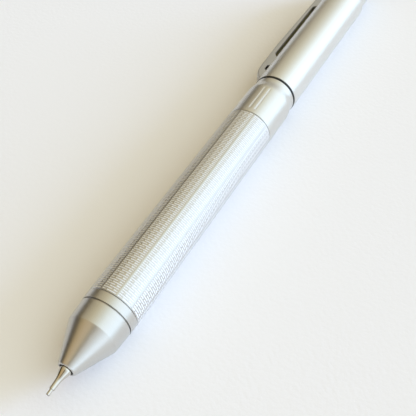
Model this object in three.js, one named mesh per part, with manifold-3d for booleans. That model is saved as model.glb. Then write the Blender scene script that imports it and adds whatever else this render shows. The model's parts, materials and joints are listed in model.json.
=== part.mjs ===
// A twist-action multi-function pencil: a 0.5 mm pencil unit and two ball refills in one metal barrel.
// Millimetres, +Z up. The pen lies along +Y with its writing tip towards -Y, on the plane z = 0.
import * as THREE from "three";
import { mergeVertices } from "three/addons/utils/BufferGeometryUtils.js";
import Module from "manifold-3d";

const wasm = await Module();
wasm.setup();

// ---- Driving dimensions. Lengths run along the pen from the nose ring's rear face, y = 0. ----
const GRIP_RADIUS = 5.5;
const GRIP_LENGTH = 53.9;
const GRIP_WALL = 0.75;
const UPPER_RADIUS = 5.2;
const UPPER_LENGTH = 42.6;
const UPPER_WALL = 0.48;
const NOSE_LENGTH = 14;
const NOSE_RIM_WALL = 0.53;
const RIM_ROUNDING = 0.12;
const CONE_LENGTH = 7.7;
const CONE_STEP = 0.35;
const SKIRT_STEP = 0.12;
const NOSE_WALL = 0.95;
const NOSE_RING_LENGTH = 1.93;
const RING_TAPER = 0.08;
const GROOVE_WIDTH = 0.25;
const SPIGOT_LENGTH = 6;
const TUBE_WALL = 0.6;
const INDEX_RING_LENGTH = 12.6;
const INDEX_STRAIGHT = 10;
const SHOULDER_STEP = 0.25;
const WASHER_THICKNESS = 0.7;
const WASHER_STEP = 0.32;
const NECK_BEFORE_RING = 8;
const NECK_IN_UPPER = 8.5;
const GUIDE_LENGTH = 5;
const CAP_LENGTH = 17.8;
const CAP_OUTSIDE = 12.8;
const CAP_WALL = 0.7;
const CAP_ROUNDING = 0.8;

// The twist action.
const REFILL_COUNT = 3;
const TWIST_STEP = Math.PI / REFILL_COUNT;
const SLIDE_TRAVEL = 7.5;
const STEM_RADIUS = 0.7;
const HEAD_RADIUS = 1.15;
const HEAD_LENGTH = 3;
const NUB_RADIUS = 0.45;
const NUB_LENGTH = 5;
const RETURN_SPRING_SPACE = 3.5;
const CAM_LIP = 0.35;
const CAM_FLOOR = 1;

// The pencil unit, a slim insert that leans from its slider to the nose hole.
const UNIT_RADIUS = 1.15;
const UNIT_WALL = 0.2;
const UNIT_LENGTH = 67.2;
const UNIT_FRONT_LENGTH = 14.2;
const TIP_PROTRUSION = 4.1;
const TIP_END_RADIUS = 0.48;
const TIP_WALL = 0.3;
const TIP_CAVITY_START = -2.5;
const TIP_CONE_END = -0.2;
const SLEEVE_PROTRUSION = 5.2;
const SLEEVE_RADIUS = 0.35;
const LEAD_RADIUS = 0.24;
const LEAD_LENGTH = 45;
const CHUCK_LENGTH = 5.5;
const CHUCK_HEAD = 1.5;
const CHUCK_STEP = 0.15;
const RETAINER_LENGTH = 1;
const CHUCK_RING_WALL = 0.15;
const LEAD_TUBE_WALL = 0.25;

// The ball refills.
const REFILL_RADIUS = 1.15;
const REFILL_PROTRUSION = 2;
const REFILL_TIP_LENGTH = 4.5;
const BALL_RADIUS = 0.35;

// The push button at the rear.
const ROD_RADIUS = 1;
const FLANGE_LENGTH = 1;
const BUSH_LENGTH = 3.5;
const ROD_AHEAD_OF_FLOOR = 5;
const ERASER_LENGTH = 8;
const ERASER_SHOWS = 3;
const HOLDER_WALL = 0.5;
const ERASER_GAP = 0.55;
const KNOCK_TRAVEL = 1.5;

// The clip, folded from sheet into a channel that opens towards the barrel.
const CLIP_LENGTH = 39.1;
const CLIP_WIDTH = 3.4;
const CLIP_SHEET = 0.6;
const CLIP_TIP_AHEAD = 1.5;
const CLIP_HEIGHT = 1.95;
const CLIP_CROWN = 0.25;
const CLIP_DROP = 0.55;
const CLIP_SLOT = 0.75;
const CLIP_NOSE_LENGTH = 2.6;
const CLIP_NOSE_HEIGHT = 0.45;
const CLIP_NOTCH_START = 3;
const CLIP_NOTCH_LENGTH = 1.6;
const CLIP_NOTCH_DEPTH = 0.6;
const CLIP_FOOT_END = 8.9;
const CLIP_ROOT_LENGTH = 6.2;

// Wire radii and turns of the springs.
const RETURN_WIRE = 0.13;
const KNOCK_WIRE = 0.22;
const CHUCK_WIRE = 0.07;
const RETURN_TURNS = 6;
const KNOCK_TURNS = 7;
const CHUCK_TURNS = 6;

// Clearances.
const FIT = 0.05;
const SLEEVE_CLEARANCE = 0.04;
const RUN = 0.1;
const SEAT = 0.3;
const HOLE_GAP = 0.15;
const NECK_GAP = 0.12;
const CAM_GAP = 1.15;

// Facets round a turned piece.
const COARSE = 12;
const SMALL = 20;
const LARGE = 40;
const CAM_FACETS = 60;

// ---- Places that follow from the sizes ----
const noseFront = -NOSE_LENGTH;
const noseHole = UNIT_RADIUS + HOLE_GAP;
const noseRim = noseHole + NOSE_RIM_WALL;
const coneEdgeRadius = GRIP_RADIUS - CONE_STEP;
const skirtEndRadius = GRIP_RADIUS - SKIRT_STEP;
const coneEdge = noseFront + CONE_LENGTH;
const skirtEnd = -NOSE_RING_LENGTH - GROOVE_WIDTH;
const gripBore = GRIP_RADIUS - GRIP_WALL;
const spigotRadius = gripBore - 3 * FIT;
const spigotBore = spigotRadius - TUBE_WALL;
const indexStart = GRIP_LENGTH + FIT;
const indexEnd = indexStart + INDEX_RING_LENGTH;
const washerStart = indexEnd + RUN;
const upperStart = washerStart + WASHER_THICKNESS + RUN;
const upperEnd = upperStart + UPPER_LENGTH;
const upperBore = UPPER_RADIUS - UPPER_WALL;
const shoulderRadius = UPPER_RADIUS - SHOULDER_STEP;
const washerRadius = UPPER_RADIUS - WASHER_STEP;
const neckRadius = Math.min(upperBore, gripBore) - RUN;
const neckBore = neckRadius - TUBE_WALL;
const neckEnd = upperStart + NECK_IN_UPPER;
const widest = Math.max(HEAD_RADIUS, UNIT_RADIUS, REFILL_RADIUS);
const refillOffset = neckBore - widest - NECK_GAP;
const nubOffset = refillOffset + HEAD_RADIUS - NUB_RADIUS - FIT;
const leanPivot = noseFront;
const unitRear = UNIT_LENGTH - SLEEVE_PROTRUSION;
const tipCavity = UNIT_RADIUS - TIP_WALL;
const leadTubeRadius = tipCavity - FIT;
const chuckRadius = leadTubeRadius - CHUCK_RING_WALL - FIT;
const lean = Math.asin(refillOffset / unitRear);
const stemStart = leanPivot + unitRear * Math.cos(lean) + SEAT;
const guideEnd = indexEnd - RUN;
const guideStart = guideEnd - GUIDE_LENGTH;
const headStart = guideEnd + RETURN_SPRING_SPACE;
const headEnd = headStart + HEAD_LENGTH;
const nubEnd = headEnd + NUB_LENGTH;
const camLow = nubEnd + CAM_GAP;
const camHigh = camLow + SLIDE_TRAVEL;
const camFloor = camHigh + SEAT;
const camRadius = upperBore - 2 * RUN;
const camBore = nubOffset - CAM_LIP;
const capEnd = upperEnd + CAP_OUTSIDE;
const capStart = capEnd - CAP_LENGTH;
const bushEnd = capStart - KNOCK_TRAVEL - SEAT;
const bushStart = bushEnd - BUSH_LENGTH;
const camEnd = bushStart - SEAT;
const flangeStart = bushStart - SEAT - FLANGE_LENGTH;
const flangeRadius = camBore - SEAT;
const capRadius = upperBore - RUN;
const capBore = capRadius - CAP_WALL;
const eraserRadius = capBore - FIT - ERASER_GAP - HOLDER_WALL;
const rodEnd = capStart + HOLDER_WALL;
const holderEnd = rodEnd + SEAT + ERASER_LENGTH - ERASER_SHOWS;
const clipTip = upperStart + CLIP_TIP_AHEAD;
const clipEnd = clipTip + CLIP_LENGTH;
const clipPeak = UPPER_RADIUS + CLIP_HEIGHT;
const clipTipHeight = clipPeak - CLIP_CROWN;
const clipRest = UPPER_RADIUS + FIT;

// ---- Materials ----
const makeMaterial = (color, roughness, metalness) => () =>
  new THREE.MeshStandardMaterial({ color, roughness, metalness });
const satinAluminium = makeMaterial(0xd9dad6, 0.38, 1);
const nickel = makeMaterial(0xc9c3b8, 0.15, 1);
const springSteel = makeMaterial(0xb4b6b8, 0.3, 1);
const brass = makeMaterial(0xc8a050, 0.35, 1);
const blackPlastic = makeMaterial(0x16171a, 0.45, 0);
const greyPlastic = makeMaterial(0x8d9196, 0.5, 0);
const redPlastic = makeMaterial(0xb8202a, 0.4, 0);
const whiteRubber = makeMaterial(0xf2f2ee, 0.85, 0);
const graphite = makeMaterial(0x2b2b2e, 0.5, 0.3);

// ---- Helpers ----
function mesh(name, geometry, material) {
  const made = new THREE.Mesh(geometry, material());
  made.name = name;
  return made;
}

// Six times the signed volume that a geometry's triangles enclose.
function signedVolume(geometry) {
  const place = geometry.getAttribute("position");
  const index = geometry.index;
  const corners = [new THREE.Vector3(), new THREE.Vector3(), new THREE.Vector3()];
  let sum = 0;
  for (let i = 0; i < index.count; i += 3) {
    corners.forEach((corner, k) => corner.fromBufferAttribute(place, index.getX(i + k)));
    sum += corners[0].dot(corners[1].cross(corners[2]));
  }
  return sum;
}

// Turns every face round when the geometry is inside out.
function facingOut(geometry) {
  if (signedVolume(geometry) < 0) {
    const index = geometry.index;
    for (let i = 0; i < index.count; i += 3) {
      const second = index.getX(i + 1);
      index.setX(i + 1, index.getX(i + 2));
      index.setX(i + 2, second);
    }
    geometry.computeVertexNormals();
  }
  return geometry;
}

// A profile of [radius, y] points turned about the pen's axis. Its flats touch the true circle,
// and one flat lies straight down. A profile off the axis is closed on itself.
function turned(profile, facets = LARGE) {
  const grow = 1 / Math.cos(Math.PI / facets);
  const points = profile.map(([radius, y]) => new THREE.Vector2(radius * grow, y));
  if (profile[0][0] > 0) {
    points.push(points[0].clone());
  }
  const geometry = new THREE.LatheGeometry(points, facets, Math.PI / facets);
  return facingOut(geometry);
}

// A plain tube between two places.
function tube(outer, inner, start, end, facets = LARGE) {
  return turned([[inner, start], [outer, start], [outer, end], [inner, end]], facets);
}

// A plain rod between two places.
function rod(radius, start, end, facets = SMALL) {
  return turned([[0, start], [radius, start], [radius, end], [0, end]], facets);
}

function toSolid(geometry) {
  const bare = geometry.clone();
  bare.deleteAttribute("normal");
  bare.deleteAttribute("uv");
  const merged = mergeVertices(bare, 1e-3);
  return new wasm.Manifold(
    new wasm.Mesh({
      numProp: 3,
      vertProperties: merged.attributes.position.array,
      triVerts: new Uint32Array(merged.index.array),
    }),
  );
}

function toGeometry(solid) {
  const { vertProperties, triVerts } = solid.getMesh();
  const geometry = new THREE.BufferGeometry();
  geometry.setAttribute("position", new THREE.BufferAttribute(vertProperties, 3));
  geometry.setIndex(new THREE.BufferAttribute(triVerts, 1));
  geometry.computeVertexNormals();
  return geometry;
}

// A round wire wound about the y axis.
class Helix extends THREE.Curve {
  constructor(radius, start, end, turns) {
    super();
    Object.assign(this, { radius, start, end, turns });
  }
  getPoint(t, target = new THREE.Vector3()) {
    const angle = 2 * Math.PI * this.turns * t;
    const y = this.start + (this.end - this.start) * t;
    return target.set(this.radius * Math.cos(angle), y, this.radius * Math.sin(angle));
  }
}

function spring(radius, wire, start, end, turns) {
  const stepsPerTurn = 12;
  const section = new THREE.Shape();
  section.absarc(0, 0, wire, 0, 2 * Math.PI);
  const path = new Helix(radius, start + wire, end - wire, turns);
  const settings = { steps: turns * stepsPerTurn, curveSegments: 3, extrudePath: path };
  return new THREE.ExtrudeGeometry(section, settings);
}

// ---- The lower half ----
function noseCone() {
  const landEnd = noseFront + NOSE_WALL;
  const boreEnd = coneEdge - NOSE_WALL / 3;
  return turned([
    [noseHole, noseFront + RIM_ROUNDING],
    [noseHole + RIM_ROUNDING, noseFront],
    [noseRim - RIM_ROUNDING, noseFront],
    [noseRim, noseFront + RIM_ROUNDING],
    [coneEdgeRadius, coneEdge],
    [skirtEndRadius, skirtEnd],
    [spigotRadius, skirtEnd],
    [spigotRadius, SPIGOT_LENGTH],
    [spigotBore, SPIGOT_LENGTH],
    [spigotBore, boreEnd],
    [noseHole, landEnd],
  ]);
}

function indexRing() {
  const roundStart = indexStart + INDEX_STRAIGHT;
  const steps = 4;
  const profile = [[neckRadius + RUN, indexStart], [GRIP_RADIUS, indexStart]];
  for (let i = 0; i <= steps; i += 1) {
    const angle = (Math.PI / 2) * (i / steps);
    const radius = shoulderRadius + (GRIP_RADIUS - shoulderRadius) * Math.cos(angle);
    profile.push([radius, roundStart + (indexEnd - roundStart) * Math.sin(angle)]);
  }
  profile.push([neckRadius + RUN, indexEnd]);
  return turned(profile);
}

// A disc whose round holes carry the slider stems.
function guideBlock() {
  let block = toSolid(turned([
    [0, guideStart],
    [neckBore - FIT, guideStart],
    [neckBore - FIT, guideEnd],
    [0, guideEnd],
  ]));
  for (let i = 0; i < REFILL_COUNT; i += 1) {
    const hole = rod(STEM_RADIUS + RUN, guideStart - 1, guideEnd + 1, SMALL);
    hole.translate(0, 0, refillOffset);
    hole.rotateY(2 * TWIST_STEP * i);
    block = block.subtract(toSolid(hole));
  }
  return toGeometry(block);
}

function lowerHalf() {
  const ringStart = -NOSE_RING_LENGTH;
  const ringFrontRadius = GRIP_RADIUS - RING_TAPER;
  const ringBore = spigotRadius + FIT;
  const ring = turned([
    [ringBore, ringStart],
    [ringFrontRadius, ringStart],
    [GRIP_RADIUS, -FIT],
    [ringBore, -FIT],
  ]);
  return [
    mesh("nose_cone", noseCone(), satinAluminium),
    mesh("nose_ring", ring, satinAluminium),
    mesh("grip_barrel", tube(GRIP_RADIUS, gripBore, 0, GRIP_LENGTH), satinAluminium),
    mesh("index_ring", indexRing(), satinAluminium),
    mesh("neck_tube", tube(neckRadius, neckBore, indexStart - NECK_BEFORE_RING, neckEnd), brass),
    mesh("guide_block", guideBlock(), greyPlastic),
    mesh("bearing_washer", tube(washerRadius, neckRadius + FIT, washerStart,
      washerStart + WASHER_THICKNESS), blackPlastic),
  ];
}

// ---- Sliders, refills and their springs ----
function slider(forward) {
  const stem = turned([
    [0, stemStart + forward],
    [STEM_RADIUS, stemStart + forward],
    [STEM_RADIUS, headStart + forward],
    [HEAD_RADIUS, headStart + forward],
    [HEAD_RADIUS, headEnd + forward],
    [0, headEnd + forward],
  ], SMALL);
  stem.translate(0, 0, refillOffset);
  const nub = rod(NUB_RADIUS, headEnd + forward - 1, nubEnd + forward, COARSE);
  nub.translate(0, 0, nubOffset);
  return toGeometry(toSolid(stem).add(toSolid(nub)));
}

function refillTip(start) {
  const shoulder = start + REFILL_TIP_LENGTH;
  return turned([
    [0, start],
    [BALL_RADIUS, start + BALL_RADIUS],
    [REFILL_RADIUS, shoulder],
    [0, shoulder],
  ], SMALL);
}

// One ball refill that rests behind the nose, with its slider and return spring.
function ballRefill(colour, plastic, turn) {
  const group = new THREE.Group();
  const tipStart = noseFront - REFILL_PROTRUSION + SLIDE_TRAVEL;
  const tip = refillTip(tipStart);
  const tubeStart = tipStart + REFILL_TIP_LENGTH + FIT;
  const ink = rod(REFILL_RADIUS, tubeStart, stemStart + SLIDE_TRAVEL - SEAT);
  const coil = returnSpring(SLIDE_TRAVEL);
  tip.translate(0, 0, refillOffset);
  ink.translate(0, 0, refillOffset);
  group.add(mesh(`${colour}_tip`, tip, nickel));
  group.add(mesh(`${colour}_tube`, ink, plastic));
  group.add(mesh(`${colour}_slider`, slider(SLIDE_TRAVEL), plastic));
  group.add(mesh(`${colour}_spring`, coil, springSteel));
  group.rotation.y = turn;
  return group;
}

function returnSpring(forward) {
  const coilRadius = (STEM_RADIUS + RUN + HEAD_RADIUS) / 2;
  const coil = spring(coilRadius, RETURN_WIRE, guideEnd + RUN, headStart + forward - RUN, RETURN_TURNS);
  coil.translate(0, 0, refillOffset);
  return coil;
}

// The pencil insert. Its own y starts at the nose hole and runs along its leaning axis.
function pencilUnit() {
  const unit = new THREE.Group();
  const cavityStart = TIP_CAVITY_START;
  const frontEnd = UNIT_FRONT_LENGTH - SLEEVE_PROTRUSION;
  const sleeveEnd = cavityStart - RUN;
  const sleeveBore = LEAD_RADIUS + SLEEVE_CLEARANCE;
  const tip = turned([
    [SLEEVE_RADIUS + FIT, -TIP_PROTRUSION],
    [TIP_END_RADIUS, -TIP_PROTRUSION],
    [UNIT_RADIUS, TIP_CONE_END],
    [UNIT_RADIUS, frontEnd],
    [tipCavity, frontEnd],
    [tipCavity, cavityStart + tipCavity],
    [SLEEVE_RADIUS + FIT, cavityStart],
  ], SMALL);
  const sleeve = tube(SLEEVE_RADIUS, sleeveBore, -SLEEVE_PROTRUSION, sleeveEnd, COARSE);
  const retainerStart = cavityStart + tipCavity + FIT;
  const retainerEnd = retainerStart + RETAINER_LENGTH;
  const plugRadius = tipCavity - FIT;
  const leadBore = LEAD_RADIUS + FIT;
  const retainer = tube(plugRadius, leadBore, retainerStart, retainerEnd, COARSE);
  const chuckStart = retainerEnd + KNOCK_TRAVEL + SEAT;
  const chuckEnd = chuckStart + CHUCK_LENGTH;
  const chuckStem = chuckRadius - CHUCK_STEP;
  const headEndsAt = chuckStart + CHUCK_HEAD;
  const chuck = turned([
    [leadBore, chuckStart],
    [chuckRadius, chuckStart],
    [chuckRadius, headEndsAt],
    [chuckStem, headEndsAt],
    [chuckStem, chuckEnd],
    [leadBore, chuckEnd],
  ], COARSE);
  const ring = tube(plugRadius, chuckRadius + FIT, chuckStart, headEndsAt, COARSE);
  const tubeStart = chuckEnd + RUN;
  const tubeBore = leadTubeRadius - LEAD_TUBE_WALL;
  const leadTube = tube(leadTubeRadius, tubeBore, tubeStart, unitRear - RUN, COARSE);
  const coilRadius = chuckStem + 2 * CHUCK_WIRE;
  const coil = spring(coilRadius, CHUCK_WIRE, headEndsAt + RUN, tubeStart - RUN, CHUCK_TURNS);
  const barrel = tube(UNIT_RADIUS, UNIT_RADIUS - UNIT_WALL, frontEnd + FIT, unitRear, SMALL);
  const lead = rod(LEAD_RADIUS, -SLEEVE_PROTRUSION, LEAD_LENGTH - SLEEVE_PROTRUSION, COARSE);
  unit.add(mesh("pencil_tip", tip, nickel));
  unit.add(mesh("lead_sleeve", sleeve, nickel));
  unit.add(mesh("lead_retainer", retainer, blackPlastic));
  unit.add(mesh("chuck", chuck, brass));
  unit.add(mesh("chuck_ring", ring, brass));
  unit.add(mesh("chuck_spring", coil, springSteel));
  unit.add(mesh("lead_tube", leadTube, greyPlastic));
  unit.add(mesh("pencil_barrel", barrel, brass));
  unit.add(mesh("lead", lead, graphite));
  unit.position.y = leanPivot;
  unit.rotation.x = lean;
  return unit;
}

// ---- The upper half ----
// The cam is a tube whose front edge falls from both sides to one low point, straight up at rest.
function camTube() {
  const geometry = turned([
    [camBore, camLow],
    [camRadius, camLow],
    [camRadius, camEnd],
    [camBore, camEnd],
    [camBore, camFloor + CAM_FLOOR],
    [ROD_RADIUS + SEAT, camFloor + CAM_FLOOR],
    [ROD_RADIUS + SEAT, camFloor],
    [camBore, camFloor],
  ], CAM_FACETS);
  const place = geometry.getAttribute("position");
  for (let i = 0; i < place.count; i += 1) {
    if (Math.abs(place.getY(i) - camLow) < FIT) {
      const angle = Math.abs(Math.atan2(place.getX(i), place.getZ(i)));
      place.setY(i, camLow + SLIDE_TRAVEL * Math.min(angle / TWIST_STEP, 1));
    }
  }
  geometry.computeVertexNormals();
  return geometry;
}

// The clip's side outline, as [distance from the pen's axis, y] turned into x and y. Its tip is a nose that
// slopes in to the barrel, and a small notch behind the nose marks where the flanges start.
function clipOutline() {
  const outline = new THREE.Shape();
  const rootHeight = clipPeak - CLIP_DROP;
  const peakAt = clipTip + CLIP_LENGTH / 3;
  const slotHeight = clipRest + CLIP_SLOT;
  const notchHeight = clipRest + CLIP_NOTCH_DEPTH;
  const notchStart = clipTip + CLIP_NOTCH_START;
  const notchEnd = notchStart + CLIP_NOTCH_LENGTH;
  const footEnd = clipTip + CLIP_FOOT_END;
  const rootStart = clipEnd - CLIP_ROOT_LENGTH;
  const ramp = 0.6;
  outline.moveTo(-clipRest, clipTip);
  outline.lineTo(-(clipRest + CLIP_NOSE_HEIGHT), clipTip);
  outline.lineTo(-clipTipHeight, clipTip + CLIP_NOSE_LENGTH);
  outline.lineTo(-clipPeak, peakAt);
  outline.lineTo(-rootHeight, clipEnd - ramp);
  outline.lineTo(-(rootHeight - ramp), clipEnd);
  outline.lineTo(-clipRest, clipEnd);
  outline.lineTo(-clipRest, rootStart + ramp);
  outline.lineTo(-(slotHeight - ramp / 3), rootStart);
  outline.lineTo(-slotHeight, footEnd + ramp);
  outline.lineTo(-clipRest, footEnd);
  outline.lineTo(-clipRest, notchEnd);
  outline.lineTo(-notchHeight, notchEnd - ramp / 2);
  outline.lineTo(-notchHeight, notchStart + ramp / 2);
  outline.lineTo(-clipRest, notchStart);
  return outline;
}

function clip() {
  const full = { depth: CLIP_WIDTH, steps: 1, bevelEnabled: false };
  const body = new THREE.ExtrudeGeometry(clipOutline(), full);
  body.translate(0, 0, -CLIP_WIDTH / 2);
  // The channel follows the outer outline one sheet thickness below it, and runs out past the flanges.
  const innerWidth = CLIP_WIDTH - 2 * CLIP_SHEET;
  const noseRise = clipTipHeight - clipRest - CLIP_NOSE_HEIGHT;
  const noseSlope = CLIP_NOSE_LENGTH / noseRise;
  const noseInside = clipTip + CLIP_SHEET * Math.hypot(1, noseSlope);
  const channelFront = noseInside - CLIP_NOSE_HEIGHT * noseSlope;
  const channelTurn = noseInside + (noseRise - CLIP_SHEET) * noseSlope;
  const channelShape = new THREE.Shape();
  channelShape.moveTo(-clipRest + 1, channelFront);
  channelShape.lineTo(-clipRest, channelFront);
  channelShape.lineTo(-(clipTipHeight - CLIP_SHEET), channelTurn);
  channelShape.lineTo(-(clipPeak - CLIP_SHEET), clipTip + CLIP_LENGTH / 3);
  channelShape.lineTo(-(clipPeak - CLIP_DROP - CLIP_SHEET), clipEnd - 2 * CLIP_SHEET);
  channelShape.lineTo(-clipRest + 1, clipEnd - 2 * CLIP_SHEET);
  const channel = new THREE.ExtrudeGeometry(channelShape, { ...full, depth: innerWidth });
  channel.translate(0, 0, -innerWidth / 2);
  return toGeometry(toSolid(body).subtract(toSolid(channel)));
}

// The block on the barrel that the clip's root is pressed over.
function clipPost() {
  const rootStart = clipEnd - CLIP_ROOT_LENGTH;
  const length = CLIP_ROOT_LENGTH / 2;
  const height = clipPeak - CLIP_DROP - CLIP_SHEET - 2 * FIT - clipRest;
  const width = CLIP_WIDTH - 2 * CLIP_SHEET - 2 * RUN;
  const post = new THREE.BoxGeometry(height, length, width);
  post.translate(-(clipRest + height / 2), rootStart + CLIP_SHEET + length / 2, 0);
  return post;
}

function upperHalf() {
  const lip = 0.15;
  const barrel = turned([
    [upperBore, upperStart],
    [UPPER_RADIUS - lip, upperStart],
    [UPPER_RADIUS, upperStart + lip],
    [UPPER_RADIUS, upperEnd - lip],
    [UPPER_RADIUS - lip, upperEnd],
    [upperBore, upperEnd],
  ]);
  return [
    mesh("upper_barrel", barrel, satinAluminium),
    mesh("cam_tube", camTube(), greyPlastic),
    mesh("rear_bush", tube(upperBore - FIT, ROD_RADIUS + RUN, bushStart, bushEnd), greyPlastic),
    mesh("clip_post", clipPost(), springSteel),
    mesh("clip", clip(), satinAluminium),
  ];
}

// ---- The push button ----
function knockRod() {
  const rodStart = camFloor - ROD_AHEAD_OF_FLOOR;
  return turned([
    [0, rodStart],
    [ROD_RADIUS, rodStart],
    [ROD_RADIUS, flangeStart],
    [flangeRadius, flangeStart],
    [flangeRadius, flangeStart + FLANGE_LENGTH],
    [ROD_RADIUS, flangeStart + FLANGE_LENGTH],
    [ROD_RADIUS, rodEnd],
    [0, rodEnd],
  ], SMALL);
}

// A cup on the rod's end that holds the eraser and carries the cap on its flange.
function eraserHolder() {
  const outer = eraserRadius + FIT + HOLDER_WALL;
  const flange = capBore - FIT;
  const floorEnd = rodEnd + FIT + HOLDER_WALL;
  return turned([
    [0, rodEnd + FIT],
    [flange, rodEnd + FIT],
    [flange, floorEnd],
    [outer, floorEnd],
    [outer, holderEnd],
    [eraserRadius + FIT, holderEnd],
    [eraserRadius + FIT, floorEnd],
    [0, floorEnd],
  ]);
}

function eraser() {
  const start = rodEnd + HOLDER_WALL + 2 * FIT;
  const end = start + ERASER_LENGTH;
  const rounding = 0.6;
  return turned([
    [0, start],
    [eraserRadius, start],
    [eraserRadius, end - rounding],
    [eraserRadius - rounding, end],
    [0, end],
  ], SMALL);
}

function pushCap() {
  const steps = 3;
  const innerEnd = capEnd - CAP_WALL;
  const profile = [[0, innerEnd], [capBore, innerEnd], [capBore, capStart], [capRadius, capStart]];
  for (let i = 0; i <= steps; i += 1) {
    const angle = (Math.PI / 2) * (i / steps);
    const radius = capRadius - CAP_ROUNDING * (1 - Math.cos(angle));
    profile.push([radius, capEnd - CAP_ROUNDING * (1 - Math.sin(angle))]);
  }
  profile.push([0, capEnd]);
  return turned(profile);
}

function pushButton() {
  const coilRadius = (ROD_RADIUS + flangeRadius) / 2;
  const coilStart = camFloor + CAM_FLOOR + RUN;
  const coil = spring(coilRadius, KNOCK_WIRE, coilStart, flangeStart - RUN, KNOCK_TURNS);
  return [
    mesh("knock_rod", knockRod(), nickel),
    mesh("knock_spring", coil, springSteel),
    mesh("eraser_holder", eraserHolder(), greyPlastic),
    mesh("eraser", eraser(), whiteRubber),
    mesh("push_cap", pushCap(), satinAluminium),
  ];
}

// ---- The whole pen ----
const pen = new THREE.Group();
pen.add(...lowerHalf());
pen.add(...upperHalf());
pen.add(...pushButton());
pen.add(pencilUnit());
pen.add(mesh("pencil_slider", slider(0), greyPlastic));
pen.add(mesh("pencil_spring", returnSpring(0), springSteel));
pen.add(ballRefill("black", blackPlastic, 2 * TWIST_STEP));
pen.add(ballRefill("red", redPlastic, 4 * TWIST_STEP));

// The origin is under the middle of the pen's box, on the plane that it lies on.
const tipEnd = noseFront - SLEEVE_PROTRUSION * Math.cos(lean) - SLEEVE_RADIUS * Math.sin(lean);
pen.position.set((clipPeak - GRIP_RADIUS) / 2, -(tipEnd + capEnd) / 2, GRIP_RADIUS);

const part = new THREE.Group();
part.add(pen);
export default part;
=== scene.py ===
# %% [markdown]
# # A twist-action pencil in satin aluminium
#
# The real pen is a row of turned metal pieces on one axis: a nose cone with a slim plated pencil tip in
# its hole, a grip barrel etched with short dashes, a plain ring with two index lines, a dark turning gap,
# and a smooth upper half with a folded clip and a push cap. The CAD frame holds every piece at its real
# size. This script gives the visible ones their rounded edges, their etching and their finish.

# %% Load the frame
import json
import math

import bmesh
import bpy
import numpy as np
from mathutils import Matrix, Vector


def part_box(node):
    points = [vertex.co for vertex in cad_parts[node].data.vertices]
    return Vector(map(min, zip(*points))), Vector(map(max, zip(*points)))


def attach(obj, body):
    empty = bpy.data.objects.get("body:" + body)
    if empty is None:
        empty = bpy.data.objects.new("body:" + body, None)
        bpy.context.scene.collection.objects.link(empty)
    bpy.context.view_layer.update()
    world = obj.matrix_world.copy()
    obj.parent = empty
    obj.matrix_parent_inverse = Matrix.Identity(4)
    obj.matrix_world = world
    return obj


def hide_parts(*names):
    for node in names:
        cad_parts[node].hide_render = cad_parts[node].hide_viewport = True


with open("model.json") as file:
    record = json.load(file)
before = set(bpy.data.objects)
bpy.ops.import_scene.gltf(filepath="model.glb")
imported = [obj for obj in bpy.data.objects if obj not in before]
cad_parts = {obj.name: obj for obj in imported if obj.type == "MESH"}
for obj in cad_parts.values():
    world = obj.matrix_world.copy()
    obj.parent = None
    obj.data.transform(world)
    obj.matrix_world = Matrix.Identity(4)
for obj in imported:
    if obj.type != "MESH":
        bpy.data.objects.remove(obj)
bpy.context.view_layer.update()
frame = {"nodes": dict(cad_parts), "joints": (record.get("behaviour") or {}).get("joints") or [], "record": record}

MM = 0.001
print("frame loaded:", len(frame["nodes"]), "nodes")

# %% [markdown]
# ## One axis for everything
#
# A turned piece is known by its radii and by its places along the axis. So the axis is read once from the
# grip barrel's box, and each later outline is a list of (radius, place) pairs in millimetres, counted
# from the front face of the grip barrel. That is how a lathe drawing is dimensioned, and it keeps the
# numbers readable.


# %% The pen's axis and its places
def span(node):
    """The first and last place of a CAD node along the axis, in millimetres from the grip's front face."""
    low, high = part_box(node)
    return (low.y - grip_front) / MM, (high.y - grip_front) / MM


def radius_of(node):
    """Half the width of a turned CAD node, in millimetres."""
    low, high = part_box(node)
    return (high.x - low.x) / 2 / MM


grip_low, grip_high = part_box("grip_barrel")
grip_front = grip_low.y
axis_x = (grip_low.x + grip_high.x) / 2
axis_z = (grip_low.z + grip_high.z) / 2
GRIP_R = radius_of("grip_barrel")
UPPER_R = radius_of("upper_barrel")
print("grip radius", round(GRIP_R, 3), "mm, upper radius", round(UPPER_R, 3), "mm")

# %% [markdown]
# ## The camera
#
# The view looks down on the pen from its writing end, with the pen running up to the right. A long lens
# keeps the barrel's taper by perspective mild. The camera is placed by its position over the axis and by
# two angles: how far it is turned from the pen's own direction, and how far it looks down.

# %% Camera
# Millimetres to the right of the axis, along it from the grip's front face, and above the paper.
CAMERA_PLACE = (47.96, -48.76, 115.65)
# Radians: turned away from the pen's own direction, and looking down.
CAMERA_TURN = -0.5177
CAMERA_DOWN = 0.8861
CAMERA_LENS_MM = 59.96
CAMERA_SENSOR_MM = 36
CAMERA_NEAREST = 5 * MM


def make_camera():
    """The camera looks along (sin turn cos down, cos turn cos down, -sin down), and its right is level."""
    data = bpy.data.cameras.new("camera")
    data.lens = CAMERA_LENS_MM
    data.sensor_width = CAMERA_SENSOR_MM
    data.clip_start = CAMERA_NEAREST
    camera = bpy.data.objects.new("camera", data)
    bpy.context.scene.collection.objects.link(camera)
    bpy.context.scene.camera = camera
    x, y, z = (value * MM for value in CAMERA_PLACE)
    place = Vector((axis_x + x, grip_front + y, z))
    forward = Vector((
        math.sin(CAMERA_TURN) * math.cos(CAMERA_DOWN),
        math.cos(CAMERA_TURN) * math.cos(CAMERA_DOWN),
        -math.sin(CAMERA_DOWN),
    ))
    right = Vector((math.cos(CAMERA_TURN), -math.sin(CAMERA_TURN), 0))
    up = right.cross(forward)
    turn = Matrix((right, up, -forward)).transposed().to_4x4()
    camera.matrix_world = Matrix.Translation(place) @ turn
    return camera


camera = make_camera()
print("camera at", [round(c, 4) for c in camera.matrix_world.translation])

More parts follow.
